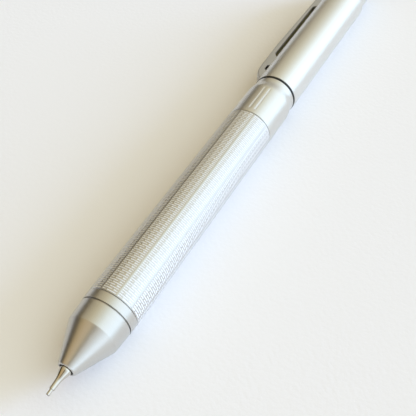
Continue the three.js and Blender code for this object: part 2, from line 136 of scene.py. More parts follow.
# %% [markdown]
# ## Building meshes from grids
#
# Nearly every piece here is a grid of points that closes on itself: rings of points round the axis, one
# ring for each point of the outline. With numpy the whole grid is worked out at once, and one function
# turns any grid into a mesh. Its two directions may close or not, and a row that has shrunk to a point is
# a pole.


# %% Grid to mesh
MERGE_DISTANCE = 2e-7


def grid_faces(rows, columns, close_rows, close_columns):
    """Quads between neighbouring grid points, as an array of four indices each."""
    row = np.arange(rows if close_rows else rows - 1)
    column = np.arange(columns if close_columns else columns - 1)
    row, column = np.meshgrid(row, column, indexing="ij")
    next_row = (row + 1) % rows
    next_column = (column + 1) % columns
    corners = [
        row * columns + column,
        row * columns + next_column,
        next_row * columns + next_column,
        next_row * columns + column,
    ]
    return np.stack(corners, -1).reshape(-1, 4)


def mesh_from(name, points, faces):
    """A mesh object at the origin from points in metres and quads, merged and facing out."""
    data = bpy.data.meshes.new(name)
    data.from_pydata(points.reshape(-1, 3), [], faces.tolist())
    shape = bmesh.new()
    shape.from_mesh(data)
    bmesh.ops.remove_doubles(shape, verts=shape.verts, dist=MERGE_DISTANCE)
    bmesh.ops.dissolve_degenerate(shape, edges=shape.edges, dist=MERGE_DISTANCE)
    bmesh.ops.recalc_face_normals(shape, faces=shape.faces)
    shape.to_mesh(data)
    shape.free()
    piece = bpy.data.objects.new(name, data)
    bpy.context.scene.collection.objects.link(piece)
    return piece


def smooth(piece, degrees=35):
    """Shades faces smooth, and keeps an edge sharp where its faces meet at more than the angle."""
    piece.data.shade_smooth()
    piece.data.set_sharp_from_angle(angle=math.radians(degrees))
    return piece


print("a tube of 4 rings with 8 points each has", len(grid_faces(4, 8, True, True)), "faces")

# %% [markdown]
# ## Turned pieces
#
# A lathe outline is drawn as straight runs joined by small rounded corners, because no real turned edge
# is razor sharp, and the rounded corner is what catches a thin line of light. The outline goes round the
# solid metal and closes on itself, so that a tube gets its bore as well as its outside.


# %% Turning an outline
def rounded(outline, steps=5, margin=0.02):
    """Replaces each (radius, place, rounding) corner by an arc-like curve.

    The curve is the quadratic one that starts and ends the rounding's length away from the corner:
    p(t) = (1-t)^2 a + 2t(1-t) corner + t^2 b. One more point a margin outside each end keeps the shading of
    the straight run beside it flat."""
    corners = np.array([point[:2] for point in outline], float)
    cuts = [point[2] if len(point) > 2 else 0 for point in outline]
    result = []
    t = np.linspace(0, 1, steps)[:, None]
    for i, cut in enumerate(cuts):
        here = corners[i]
        if cut == 0:
            result.append(here[None])
            continue
        before = corners[i - 1] - here
        after = corners[(i + 1) % len(corners)] - here
        before /= np.linalg.norm(before)
        after /= np.linalg.norm(after)
        start = here + before * cut
        end = here + after * cut
        curve = (1 - t) ** 2 * start + 2 * t * (1 - t) * here + t ** 2 * end
        outer = cut + margin
        result += [here[None] + before * outer, curve, here[None] + after * outer]
    return np.concatenate(result)


def turn_points(outline, angles):
    """Points of an outline of (radius, place) turned through the angles about the pen's axis.

    x = radius sin(angle), y = place, z = radius cos(angle), so angle 0 is straight up."""
    radius = outline[:, 0][:, None]
    place = outline[:, 1][:, None] + 0 * angles
    x = radius * np.sin(angles)
    z = radius * np.cos(angles)
    return np.stack([x, place, z], -1)


def to_frame(points):
    """Millimetres about the axis, counted from the grip's front face, to metres in the CAD frame."""
    return points * MM + np.array([axis_x, grip_front, axis_z])


def turned(name, outline, sides=128, steps=5, lean=None):
    """A closed body of revolution. With lean, the outline runs along the pencil insert's own axis."""
    profile = rounded(outline, steps)
    angles = np.linspace(0, 2 * np.pi, sides, endpoint=False)[None]
    points = turn_points(profile, angles)
    if lean is not None:
        points = lean(points)
    is_tube = profile[0, 0] > 0
    faces = grid_faces(len(profile), sides, is_tube, True)
    return smooth(mesh_from(name, to_frame(points), faces))


print("a rounded corner is drawn with", len(rounded([(0, 0), (1, 0, 0.1), (1, 1)])) - 2, "points")

# %% [markdown]
# ## Adding nodes to a material
#
# Each finish is a small network of shader nodes. One helper adds a node with its settings and links, so
# that a material's function reads like a recipe. Colours are written as the hex values that a screen
# shows, and one function turns them into the linear values that the renderer works in.


# %% Node helper and colours
def linear(hex_colour):
    """The linear RGBA of an sRGB hex colour such as "c8ccd0"."""
    srgb = np.array([int(hex_colour[i:i + 2], 16) for i in (0, 2, 4)]) / 255
    low = srgb / 12.92
    high = ((srgb + 0.055) / 1.055) ** 2.4
    return (*np.where(srgb <= 0.04045, low, high).tolist(), 1.0)


def add(tree, kind, inputs=None, stops=(), **settings):
    """Adds one node. inputs maps a socket's name or number to a value or to another node's output, and
    stops are a colour ramp's (position, hex colour) pairs."""
    node = tree.nodes.new(kind)
    for key, value in settings.items():
        setattr(node, key, value)
    for index, (position, colour) in enumerate(stops):
        elements = node.color_ramp.elements
        stop = elements[index] if index < len(elements) else elements.new(1.0)
        stop.position = position
        stop.color = linear(colour)
    for key, value in (inputs or {}).items():
        if isinstance(value, bpy.types.NodeSocket):
            tree.links.new(value, node.inputs[key])
        else:
            node.inputs[key].default_value = value
    return node


def new_material(name, colour, metallic, roughness, **sockets):
    """A material with its Principled shader set to plain values. Returns the material, tree and shader."""
    material = bpy.data.materials.new(name)
    material.use_nodes = True
    tree = material.node_tree
    shader = tree.nodes["Principled BSDF"]
    shader.inputs["Base Color"].default_value = linear(colour)
    shader.inputs["Metallic"].default_value = metallic
    shader.inputs["Roughness"].default_value = roughness
    for key, value in sockets.items():
        shader.inputs[key.replace("_", " ")].default_value = value
    return material, tree, shader


print("middle grey on a screen, 808080, is", round(linear("808080")[0], 3), "in linear light")

# %% [markdown]
# ## Satin anodised aluminium
#
# The barrel is bead-blasted before it is anodised, so its surface is a field of tiny dimples some
# hundredths of a millimetre across. They blur every reflection into soft bands along the barrel. Their
# bump is drawn at 0.06 mm, with a slow drift in roughness of a few millimetres, which is the handling
# that a used pen shows.


# %% Satin anodised aluminium
BLAST_GRAIN_MM = 0.06
BLAST_DEPTH_MM = 0.004
BLAST_STRENGTH = 0.12
HANDLING_MM = 4
HANDLING_SMOOTHER = 0.03
HANDLING_ROUGHER = 0.04
SATIN_ROUGHNESS = 0.34


def satin_aluminium(name="satin_anodised_aluminium", colour="e4e5e5", roughness=SATIN_ROUGHNESS):
    """A metal with soft, wide reflections: the dimples' bump, and a roughness that drifts slowly."""
    material, tree, shader = new_material(name, colour, 1.0, roughness)
    place = add(tree, "ShaderNodeTexCoord").outputs["Object"]
    grain = add(tree, "ShaderNodeTexNoise", {"Vector": place, "Scale": 1 / (BLAST_GRAIN_MM * MM)})
    handling = add(tree, "ShaderNodeTexNoise", {
        "Vector": place, "Scale": 1 / (HANDLING_MM * MM), "Detail": 3.0,
    })
    rough = add(tree, "ShaderNodeMapRange", {
        "Value": handling.outputs["Fac"],
        "To Min": roughness - HANDLING_SMOOTHER, "To Max": roughness + HANDLING_ROUGHER,
    })
    tree.links.new(rough.outputs["Result"], shader.inputs["Roughness"])
    bump = add(tree, "ShaderNodeBump", {
        "Strength": BLAST_STRENGTH, "Distance": BLAST_DEPTH_MM * MM, "Height": grain.outputs["Fac"],
    })
    tree.links.new(bump.outputs["Normal"], shader.inputs["Normal"])
    return material


aluminium = satin_aluminium()
print("made", aluminium.name)

# %% [markdown]
# ## Turned aluminium
#
# The nose cone and its ring keep the fine rings that the turning tool leaves, a few hundredths of a
# millimetre apart. Real feed marks are too fine to show, so they are drawn 0.09 mm apart, with a second,
# uneven set that gives the cone its faint bands.


# %% Turned aluminium
FEED_MARK_MM = 0.09
FEED_BAND_MM = 0.45
FEED_DEPTH_MM = 0.02
FEED_STRENGTH = 0.6
BAND_SMOOTHER = 0.05
BAND_ROUGHER = 0.07
TURNED_GRAIN_MM = 0.2


def turned_aluminium():
    """A metal with fine rings: the marks depend only on the place along the axis, the grain on x, y, z."""
    material, tree, shader = new_material("turned_anodised_aluminium", "d0cfcd", 1.0, SATIN_ROUGHNESS)
    place = add(tree, "ShaderNodeTexCoord").outputs["Object"]
    split = add(tree, "ShaderNodeSeparateXYZ", {"Vector": place})
    along = add(tree, "ShaderNodeCombineXYZ", {"Y": split.outputs["Y"]}).outputs["Vector"]
    marks = add(tree, "ShaderNodeTexNoise", {
        "Vector": along, "Scale": 1 / (FEED_MARK_MM * MM), "Detail": 1.0,
    })
    bands = add(tree, "ShaderNodeTexNoise", {
        "Vector": along, "Scale": 1 / (FEED_BAND_MM * MM), "Detail": 1.0,
    })
    grain = add(tree, "ShaderNodeTexNoise", {"Vector": place, "Scale": 1 / (TURNED_GRAIN_MM * MM)})
    rough = add(tree, "ShaderNodeMapRange", {
        "Value": bands.outputs["Fac"],
        "To Min": SATIN_ROUGHNESS - BAND_SMOOTHER, "To Max": SATIN_ROUGHNESS + BAND_ROUGHER,
    })
    tree.links.new(rough.outputs["Result"], shader.inputs["Roughness"])
    height = add(tree, "ShaderNodeMath", {
        0: marks.outputs["Fac"], 1: grain.outputs["Fac"],
    }, operation="ADD")
    bump = add(tree, "ShaderNodeBump", {
        "Strength": FEED_STRENGTH, "Distance": FEED_DEPTH_MM * MM, "Height": height.outputs["Value"],
    })
    tree.links.new(bump.outputs["Normal"], shader.inputs["Normal"])
    return material


turned_metal = turned_aluminium()
print("made", turned_metal.name)

# %% [markdown]
# ## The other finishes
#
# The pencil tip is polished nickel, a slightly warm and nearly mirror-like metal. The rest are plain
# workshop materials: drawn brass, spring wire, moulded plastics, eraser rubber and polymer lead. Each
# gets a fine bump and a drift in roughness of the right size, because a perfectly even surface looks
# unreal.


# %% Plain finishes
GRAIN_STRENGTH = 0.2
GRAIN_SMOOTHER = 0.85
GRAIN_ROUGHER = 1.2


def plain_finish(name, colour, metallic, roughness, grain_mm, depth_mm, **sockets):
    """A finish with one noise: it moves the roughness a little and gives a bump of the stated depth."""
    material, tree, shader = new_material(name, colour, metallic, roughness, **sockets)
    place = add(tree, "ShaderNodeTexCoord").outputs["Object"]
    grain = add(tree, "ShaderNodeTexNoise", {"Vector": place, "Scale": 1 / (grain_mm * MM), "Detail": 3.0})
    rough = add(tree, "ShaderNodeMapRange", {
        "Value": grain.outputs["Fac"],
        "To Min": roughness * GRAIN_SMOOTHER, "To Max": min(roughness * GRAIN_ROUGHER, 1.0),
    })
    tree.links.new(rough.outputs["Result"], shader.inputs["Roughness"])
    bump = add(tree, "ShaderNodeBump", {
        "Strength": GRAIN_STRENGTH, "Distance": depth_mm * MM, "Height": grain.outputs["Fac"],
    })
    tree.links.new(bump.outputs["Normal"], shader.inputs["Normal"])
    return material


# Turned, polished and plated: a nearly clear mirror, slightly warm.
nickel = plain_finish("polished_nickel", "cecac2", 1.0, 0.05, 0.5, 0.001)
# Rolled, tumbled and plated sheet: a matt, even metal.
plated_sheet = plain_finish("plated_spring_sheet", "c6c7cc", 1.0, 0.5, 0.08, 0.003)
# The inside of the clip's channel: a dull, brownish sheet with no reflection, which paints the shade down in the
# channel.
channel_painted_shade = plain_finish("clip_inside_painted_shade", "a39c7c", 0.0, 0.8, 0.3, 0.004)
# Wire pulled through a die: fairly bright, with fine scratches.
spring_wire = plain_finish("drawn_spring_steel", "a9abad", 1.0, 0.28, 0.05, 0.003)
# Drawn tube: yellow metal with a soft shine.
brass = plain_finish("drawn_brass", "c49a54", 1.0, 0.3, 0.3, 0.003)
# Moulded plastics: the fine texture of the mould gives them a broad, weak shine.
black_plastic = plain_finish("black_acetal", "111214", 0.0, 0.42, 0.08, 0.004, IOR=1.48)
grey_plastic = plain_finish("grey_acetal", "82868b", 0.0, 0.45, 0.08, 0.004, IOR=1.48)
red_plastic = plain_finish("red_polypropylene", "b3202a", 0.0, 0.36, 0.1, 0.003, IOR=1.49)
# Moulded rubber: matt all over.
rubber = plain_finish("white_eraser_rubber", "eeeeea", 0.0, 0.85, 0.12, 0.01, IOR=1.52)
# Extruded and baked lead: dark grey with a dull shine.
lead_grey = plain_finish("polymer_lead", "2e2e31", 0.0, 0.45, 0.04, 0.002)
print("finishes:", len(bpy.data.materials))

# %% [markdown]
# ## Hidden pieces keep their CAD shape
#
# The mechanism shows only through the nose hole or with the cap pulled off, so its CAD solids are good
# enough as they are. They take the finish of their material slot.

# %% Finishes for the CAD nodes
SLOT_FINISH = {
    "satin_aluminium": aluminium,
    "nickel": nickel,
    "spring_steel": spring_wire,
    "brass": brass,
    "black_plastic": black_plastic,
    "grey_plastic": grey_plastic,
    "red_plastic": red_plastic,
    "white_rubber": rubber,
    "graphite": lead_grey,
}
node_slot = {row["node"]: row["material_slot"] for row in frame["record"]["subparts"]}
node_body = {node: body for body, nodes in frame["record"]["behaviour"]["bodies"].items() for node in nodes}


def finish(piece, material):
    piece.data.materials.clear()
    piece.data.materials.append(material)
    return piece


for node_name, node in frame["nodes"].items():
    finish(node, SLOT_FINISH[node_slot[node_name]])
print("finished", len(frame["nodes"]), "CAD nodes")


def stands_for(piece, node, material):
    """Gives a new piece its finish, and lets it take a CAD node's place on the same body."""
    finish(piece, material)
    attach(piece, node_body[node])
    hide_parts(node)
    print(piece.name, "stands for", node, "with", len(piece.data.polygons), "faces")
    return piece


# %% [markdown]
# ## The nose
#
# The cone is turned in one piece with the spigot that holds the barrel. Its front rim is rounded over,
# the hole is short and opens into a hollow cone, and a crisp edge divides the cone from the short skirt
# behind it. The spigot shows only as the bottom of the dark groove between skirt and ring. Each point of
# an outline is a radius, a place and, where the corner is rounded, how far the rounding reaches.

# %% Nose cone and nose ring
nose_front, spigot_end = span("nose_cone")
ring_front, ring_end = span("nose_ring")
HOLE_R = 1.45
HOLE_LENGTH = 0.95
RIM_R = 1.83
RIM_ROUNDING = 0.2
CONE_EDGE = -6.3
CONE_EDGE_R = 5.15
SKIRT_R = 5.38
SPIGOT_R = 4.6
SPIGOT_BORE = 4.0
HOLLOW_END = CONE_EDGE - 0.3
GROOVE_R = 4.9
SKIRT_GAP = 0.28
skirt_end = ring_front - SKIRT_GAP

nose_outline = [
    (HOLE_R, nose_front + HOLE_LENGTH, 0.05),
    (HOLE_R, nose_front, 0.05),
    (RIM_R, nose_front, RIM_ROUNDING),
    (CONE_EDGE_R, CONE_EDGE, 0.07),
    (SKIRT_R, skirt_end, 0.05),
    (GROOVE_R, skirt_end + 0.03),
    (GROOVE_R, ring_front + 0.03),
    (SPIGOT_R, ring_front + 0.05),
    (SPIGOT_R, spigot_end, 0.1),
    (SPIGOT_BORE, spigot_end),
    (SPIGOT_BORE, HOLLOW_END, 0.3),
]
stands_for(turned("nose_cone_turned", nose_outline, sides=160), "nose_cone", turned_metal)

RING_BORE = SPIGOT_R + 0.06
ring_outline = [
    (RING_BORE, ring_front),
    (GRIP_R - 0.07, ring_front, 0.06),
    (GRIP_R - 0.02, ring_end - 0.02, 0.04),
    (GRIP_R - 0.25, ring_end + 0.02),
    (RING_BORE, ring_end),
]
stands_for(turned("nose_ring_turned", ring_outline, sides=160), "nose_ring", turned_metal)

# %% [markdown]
# ## The etched grip
#
# The grip is etched with short dashes round the barrel. They stand in panels divided by plain strips
# along the barrel, and within a panel the rows break in turn at one third and at two thirds of its width,
# like bricks. The dashes are real grooves in the mesh. The radius is the barrel's, less the depth where
# two masks meet: one along the barrel, which is 1 inside a groove's width, and one round it, which is 1
# along a dash and 0 in its gaps. An attribute carries each point's share of that depth, so that the
# etched floor can have a finish of its own: the etchant leaves a white, scattering oxide there, and the
# land between stays metal.

# %% Depth as an attribute
def mark_depth(piece, name, skin, depth, front, back):
    """Writes each point's share of the groove's depth, 0 on the skin and 1 on the floor, as an attribute.

    share = (skin - r) / depth, kept within 0 and 1. Points far below the skin, or outside the places from
    front to back, get 0."""
    points = np.zeros(len(piece.data.vertices) * 3)
    piece.data.vertices.foreach_get("co", points)
    points = (points.reshape(-1, 3) - [axis_x, grip_front, axis_z]) / MM
    distance = np.hypot(points[:, 0], points[:, 2])
    along = points[:, 1]
    share = np.clip((skin - distance) / depth, 0, 1)
    share[(distance < skin - 2 * depth) | (along < front) | (along > back)] = 0
    layer = piece.data.attributes.new(name, "FLOAT", "POINT")
    layer.data.foreach_set("value", share)
    return piece


print("the grooves are measured from the grip's skin, at", round(GRIP_R, 3), "mm")

# %% Where the grooves lie
ROW_PITCH = 0.477
GROOVE_WIDTH = 0.25
GROOVE_DEPTH = 0.035
GROOVE_SLOPE = 0.04
PANELS = 10
PANEL_START_DEG = 15.0
STRIP_WIDTH = 0.42
BREAK_WIDTH = 0.26
DASH_SLOPE = 0.05
grip_length = span("grip_barrel")[1]


def groove_places():
    """Places along the barrel where the height changes, four a row, with the row's depth and its number."""
    rows = int((grip_length - GROOVE_WIDTH) / ROW_PITCH)
    middle = (np.arange(rows) + 0.5) * ROW_PITCH + (grip_length - rows * ROW_PITCH) / 2
    half = GROOVE_WIDTH / 2
    offsets = np.array([-half, -half + GROOVE_SLOPE, half - GROOVE_SLOPE, half])
    return (middle[:, None] + offsets).ravel(), np.tile([0, 1, 1, 0], rows), np.repeat(np.arange(rows), 4)


def dash_angles():
    """Angles round the barrel in degrees, five for each third of a panel, with the dash mask for even rows
    and for odd rows. A third starts with a break, where the mask is 0: break 0 is the strip and cuts every
    row, break 1 cuts the even rows and break 2 the odd ones."""
    third = 360 / PANELS / 3
    widths = np.tile([STRIP_WIDTH, BREAK_WIDTH, BREAK_WIDTH], PANELS) / 2
    half = np.degrees(widths / GRIP_R)[:, None]
    slope = np.degrees(DASH_SLOPE / GRIP_R)
    start = PANEL_START_DEG + third * np.arange(3 * PANELS)[:, None]
    degrees = np.concatenate([start - half - slope, start - half, start + half, start + half + slope,
                              start + third / 2], 1)
    broken = np.array([1, 0, 0, 1, 1])
    whole = np.ones(5)
    even = np.tile(np.concatenate([broken, broken, whole]), PANELS)
    odd = np.tile(np.concatenate([broken, whole, broken]), PANELS)
    return degrees.ravel(), even, odd


print("rows of dashes:", groove_places()[2][-1] + 1)

# %% Grip barrel
GRIP_BORE = 4.75
END_WALL = 0.25
END_GROOVE = 0.16
END_LIP = 0.03
# The attribute starts inside the end grooves, so that they keep the land's finish.
ETCHED_FROM_END = 0.2
DASH_SHARP_DEG = 60


def etched_grip():
    """The grip with its dashes: radius = grip radius - depth * (groove mask along) * (dash mask round)."""
    place, inside, row = groove_places()
    degrees, even, odd = dash_angles()
    dash = np.where(row[:, None] % 2 == 0, even[None], odd[None])
    radius = GRIP_R - GROOVE_DEPTH * inside[:, None] * dash
    angles = np.radians(degrees)[None] + 0 * radius
    along = place[:, None] + 0 * radius
    outside = np.stack([radius * np.sin(angles), along, radius * np.cos(angles)], -1)
    back_rim = rounded([
        (GRIP_BORE, grip_length),
        (GRIP_R - END_WALL, grip_length, 0.02),
        (GRIP_R, grip_length - END_GROOVE, END_LIP),
        (GRIP_R, grip_length - END_GROOVE - END_LIP),
    ], 4)[::-1]
    front_rim = back_rim[::-1] * [1, -1] + [0, grip_length]
    front = turn_points(front_rim, np.radians(degrees)[None])
    back = turn_points(back_rim, np.radians(degrees)[None])
    points = np.concatenate([front, outside, back])
    piece = mesh_from("grip_barrel_etched", to_frame(points), grid_faces(*points.shape[:2], True, True))
    mark_depth(piece, "etched", GRIP_R, GROOVE_DEPTH, ETCHED_FROM_END, grip_length - ETCHED_FROM_END)
    return smooth(piece, DASH_SHARP_DEG)


grip_piece = etched_grip()
print("the etched grip has", len(grip_piece.data.vertices), "points")

# %% Etched aluminium
LAND_COLOUR = "d2d2d2"
LAND_ROUGHNESS = 0.32
FLOOR_COLOUR = "e9e7e1"
FLOOR_ROUGHNESS = 0.75


def etched_aluminium():
    """Satin aluminium whose etched floor is a white, scattering oxide: it is as light from every side."""
    material = satin_aluminium("etched_anodised_aluminium", LAND_COLOUR, LAND_ROUGHNESS)
    tree = material.node_tree
    shader = tree.nodes["Principled BSDF"]
    plain = shader.inputs["Roughness"].links[0].from_socket
    etched = add(tree, "ShaderNodeAttribute", attribute_name="etched").outputs["Fac"]
    rough = add(tree, "ShaderNodeMix", {0: etched, 2: plain, 3: FLOOR_ROUGHNESS}, data_type="FLOAT")
    metal = add(tree, "ShaderNodeMapRange", {"Value": etched, "To Min": 1.0, "To Max": 0.0})
    tint = add(tree, "ShaderNodeValToRGB", {"Fac": etched}, stops=[(0, LAND_COLOUR), (1, FLOOR_COLOUR)])
    tree.links.new(rough.outputs[0], shader.inputs["Roughness"])
    tree.links.new(metal.outputs["Result"], shader.inputs["Metallic"])
    tree.links.new(tint.outputs["Color"], shader.inputs["Base Color"])
    return material


stands_for(grip_piece, "grip_barrel", etched_aluminium())

# %% [markdown]
# ## The index ring
#
# This plain ring ends in a rounded shoulder and a short collar at the turning gap. Two fine lines are cut
# along its top with a shallow cutter and etched white, so they stay light where the ring mirrors a dim
# room. They are made like the dashes: the radius drops where the distance from a line's middle is under
# half its width.

# %% The index ring's outline
LINE_SPACING = 1.35
LINE_WIDTH = 0.42
LINE_DEPTH = 0.03
LINE_START = 1.1
LINE_LENGTH = 7.9
LINE_END_SLOPE = 0.12
INDEX_BORE = 4.72
SHOULDER_STEPS = 14
SHOULDER_LENGTH = 2.6
COLLAR_R = 5.05
# The collar runs on past the CAD ring, so that only a narrow dark gap shows before the upper barrel.
COLLAR_RUNS_ON = 0.42
index_front, cad_index_end = span("index_ring")
index_end = cad_index_end + COLLAR_RUNS_ON
shoulder_start = index_front + 9.3


def index_outline():
    """The ring's outline: straight, an S-shaped shoulder, then a narrower straight collar to the gap.

    Along the shoulder, r = R - (R - collar) (3 t^2 - 2 t^3), with t from 0 to 1."""
    t = np.linspace(0, 1, SHOULDER_STEPS)
    radius = GRIP_R - (GRIP_R - COLLAR_R) * (3 * t ** 2 - 2 * t ** 3)
    place = shoulder_start + SHOULDER_LENGTH * t
    line_front = index_front + LINE_START
    line_back = line_front + LINE_LENGTH
    slope = LINE_END_SLOPE
    straight = [index_front + 0.09, line_front, line_front + slope, line_back - slope, line_back]
    front = [(INDEX_BORE, index_front), (GRIP_R - 0.07, index_front), (GRIP_R - 0.02, index_front + 0.02),
             (GRIP_R, index_front + 0.07)]
    body = [(GRIP_R, value) for value in straight]
    back = list(zip(radius, place)) + [
        (COLLAR_R, index_end - 0.1), (COLLAR_R, index_end - 0.07), (COLLAR_R - 0.02, index_end - 0.02),
        (COLLAR_R - 0.07, index_end), (INDEX_BORE, index_end),
    ]
    return np.array(front + body + back), (line_front + slope / 2, line_back - slope / 2)


print("the index ring is", round(index_end - index_front, 2), "mm long")

# %% Index ring
LINE_SIDE_SLOPE = 0.06
LINE_SHARP_DEG = 50
PLAIN_SIDES = 120


def index_ring():
    """The ring with its two lines: a point is drawn in by mask * line depth, straight towards the axis."""
    outline, (line_front, line_back) = index_outline()
    edge = math.degrees(LINE_WIDTH / 2 / GRIP_R)
    slope = math.degrees(LINE_SIDE_SLOPE / GRIP_R)
    middle = math.degrees(LINE_SPACING / 2 / GRIP_R)
    near = np.array([-edge, -edge + slope, edge - slope, edge])
    lines = np.concatenate([near - middle, near + middle])
    plain = np.linspace(lines[-1] + 2, lines[0] + 358, PLAIN_SIDES)
    degrees = np.concatenate([lines, plain])
    angles = np.radians(degrees)[None]
    points = turn_points(outline, angles)
    in_line = np.zeros(len(degrees))
    in_line[[1, 2, 5, 6]] = 1
    in_length = (outline[:, 1] > line_front) & (outline[:, 1] < line_back) & (outline[:, 0] > COLLAR_R)
    mask = in_length[:, None] * in_line[None]
    outward = np.stack([np.sin(angles), 0 * angles, np.cos(angles)], -1)
    points = points - outward * (mask * LINE_DEPTH)[..., None]
    piece = mesh_from("index_ring_turned", to_frame(points), grid_faces(*points.shape[:2], True, True))
    return smooth(mark_depth(piece, "cut", GRIP_R, LINE_DEPTH, line_front, line_back), LINE_SHARP_DEG)


index_piece = index_ring()
print("the index ring has", len(index_piece.data.vertices), "points")

# %% Marked aluminium
RING_COLOUR = "dcdcdb"
LINE_COLOUR = "dddbd2"


def marked_aluminium():
    """Satin aluminium whose two index lines are a white, scattering oxide, as the etched dashes are."""
    material = satin_aluminium("marked_anodised_aluminium", RING_COLOUR)
    tree = material.node_tree
    shader = tree.nodes["Principled BSDF"]
    cut = add(tree, "ShaderNodeAttribute", attribute_name="cut").outputs["Fac"]
    metal = add(tree, "ShaderNodeMapRange", {"Value": cut, "To Min": 1.0, "To Max": 0.0})
    tint = add(tree, "ShaderNodeValToRGB", {"Fac": cut}, stops=[(0, RING_COLOUR), (1, LINE_COLOUR)])
    tree.links.new(metal.outputs["Result"], shader.inputs["Metallic"])
    tree.links.new(tint.outputs["Color"], shader.inputs["Base Color"])
    return material


stands_for(index_piece, "index_ring", marked_aluminium())

# %% [markdown]
# ## The turning gap and the upper barrel
#
# A black washer sits in the gap between the halves and carries the turning. Its black also paints the
# shade down in the gap, and it shows as the dark line round the pen. The upper barrel is a smooth thin
# tube, slimmer than the grip.

# %% Washer and upper barrel
TURNING_PLAY = 0.03
WASHER_BORE = 4.68
WASHER_LENGTH = 0.47
washer_r = UPPER_R - 0.08
washer_front = index_end + TURNING_PLAY
washer_end = washer_front + WASHER_LENGTH
washer_outline = [
    (WASHER_BORE, washer_front), (washer_r, washer_front, 0.03), (washer_r, washer_end, 0.03),
    (WASHER_BORE, washer_end),
]
# The washer's black is partly painted shade, standing in for the shade down in the turning gap.
stands_for(turned("bearing_washer_turned", washer_outline), "bearing_washer", black_plastic)

UPPER_BORE = 4.73
upper_front = washer_end + TURNING_PLAY
upper_end = span("upper_barrel")[1]
upper_outline = [
    (UPPER_BORE, upper_front, 0.03),
    (UPPER_R, upper_front, 0.06),
    (UPPER_R, upper_end, 0.16),
    (UPPER_BORE, upper_end, 0.05),
]
stands_for(turned("upper_barrel_turned", upper_outline, sides=160), "upper_barrel", aluminium)

# %% [markdown]
# ## The push cap
#
# The cap is turned from the same stock, closed, and well rounded at its end. A fine groove near the
# barrel gives the thumb an edge to pull it off by. Under it sits a round eraser in a moulded holder.

# %% Push cap, eraser and holder
cap_front, cap_end = span("push_cap")
cap_r = radius_of("push_cap")
CAP_WALL = 0.68
CAP_TOP = 0.7
CAP_ROUNDING = 0.8
CAP_GROOVE_DEPTH = 0.12
GROOVE_FROM_BARREL = 1.2
cap_bore = cap_r - CAP_WALL
cap_groove = upper_end + GROOVE_FROM_BARREL
cap_outline = [
    (0, cap_end - CAP_TOP),
    (cap_bore, cap_end - CAP_TOP, 0.3),
    (cap_bore, cap_front, 0.1),
    (cap_r, cap_front, 0.12),
    (cap_r, cap_groove, 0.05),
    (cap_r - CAP_GROOVE_DEPTH, cap_groove + CAP_GROOVE_DEPTH, 0.04),
    (cap_r, cap_groove + 2 * CAP_GROOVE_DEPTH, 0.05),
    (cap_r, cap_end, CAP_ROUNDING),
    (0, cap_end),
]
stands_for(turned("push_cap_turned", cap_outline, sides=160, steps=8), "push_cap", aluminium)

eraser_front, eraser_end = span("eraser")
eraser_r = radius_of("eraser")
ERASER_ROUNDING = 0.6
eraser_outline = [
    (0, eraser_front), (eraser_r, eraser_front), (eraser_r, eraser_end, ERASER_ROUNDING), (0, eraser_end),
]
stands_for(turned("eraser_round", eraser_outline, sides=96), "eraser", rubber)

holder_front, holder_end = span("eraser_holder")
holder_r = radius_of("eraser_holder")
cup_floor = holder_front + 0.5
cup_r = eraser_r + 0.55
cup_bore = eraser_r + 0.06
holder_outline = [
    (0, holder_front),
    (holder_r, holder_front, 0.1),
    (holder_r, cup_floor, 0.1),
    (cup_r, cup_floor, 0.1),
    (cup_r, holder_end, 0.15),
    (cup_bore, holder_end, 0.05),
    (cup_bore, cup_floor),
    (0, cup_floor),
]
stands_for(turned("eraser_holder_turned", holder_outline, sides=96), "eraser_holder", grey_plastic)

# %% [markdown]
# ## The pencil tip
#
# The insert leans a little, from its slider off the axis to the nose hole on it. So its outlines are
# drawn straight and then turned about the middle of the nose hole by the lean. The tip flares like a
# trumpet. The sleeve that guides the lead is a thin plated tube, and the lead itself shows as a dark dot
# in its end.

# %% The insert's lean
core_axis = Vector(next(j["axis"] for j in frame["joints"] if j["name"] == "core_slide")).normalized()
lean_cos = -core_axis.y
lean_sin = -core_axis.z


def lean_insert(points):
    """Turns points about the x axis through the nose hole: y' = y cos - z sin, z' = y sin + z cos."""
    x, y, z = points[..., 0], points[..., 1] - nose_front, points[..., 2]
    return np.stack([x, nose_front + y * lean_cos - z * lean_sin, y * lean_sin + z * lean_cos], -1)


print("the insert leans by", round(math.degrees(math.asin(lean_sin)), 2), "degrees")

# %% Pencil tip
TIP_R = 1.15
TIP_END_R = 0.52
TIP_BORE = 0.38
TIP_LENGTH = 4.1
TIP_TUBE = 9.0
NOZZLE_STRAIGHT = 0.12
NOZZLE_TAPER = 0.08
FLARE_STEPS = 24
FLARE_POWER = 3
CAVITY_R = 0.85
cavity_shoulder = nose_front - 0.8
cavity_end = nose_front - 2.5
tip_front = nose_front - TIP_LENGTH
tube_end = nose_front + TIP_TUBE


def tip_outline():
    """The tip's outline: a slim nozzle that flares like a trumpet into the insert's body.

    With t from 0 to 1 along the tip, the nozzle is n = end + taper t, and the radius is
    r = n + (body - n) ((1 - cos(pi t)) / 2) ^ 3."""
    t = np.linspace(0, 1, FLARE_STEPS)
    nozzle = TIP_END_R + NOZZLE_TAPER * t
    flare = (0.5 - 0.5 * np.cos(np.pi * t)) ** FLARE_POWER
    radius = nozzle + (TIP_R - nozzle) * flare
    place = tip_front + NOZZLE_STRAIGHT + (TIP_LENGTH - NOZZLE_STRAIGHT) * t
    outside = np.stack([radius, place], 1)
    front = rounded([(TIP_BORE, tip_front, 0.02), (TIP_END_R, tip_front, 0.04), tuple(outside[0])], 4)[:-1]
    tube = [(TIP_R, tube_end), (CAVITY_R, tube_end), (CAVITY_R, cavity_shoulder), (TIP_BORE, cavity_end)]
    return np.concatenate([front, outside, np.array(tube)])


stands_for(turned("pencil_tip_turned", tip_outline(), sides=96, lean=lean_insert), "pencil_tip", nickel)

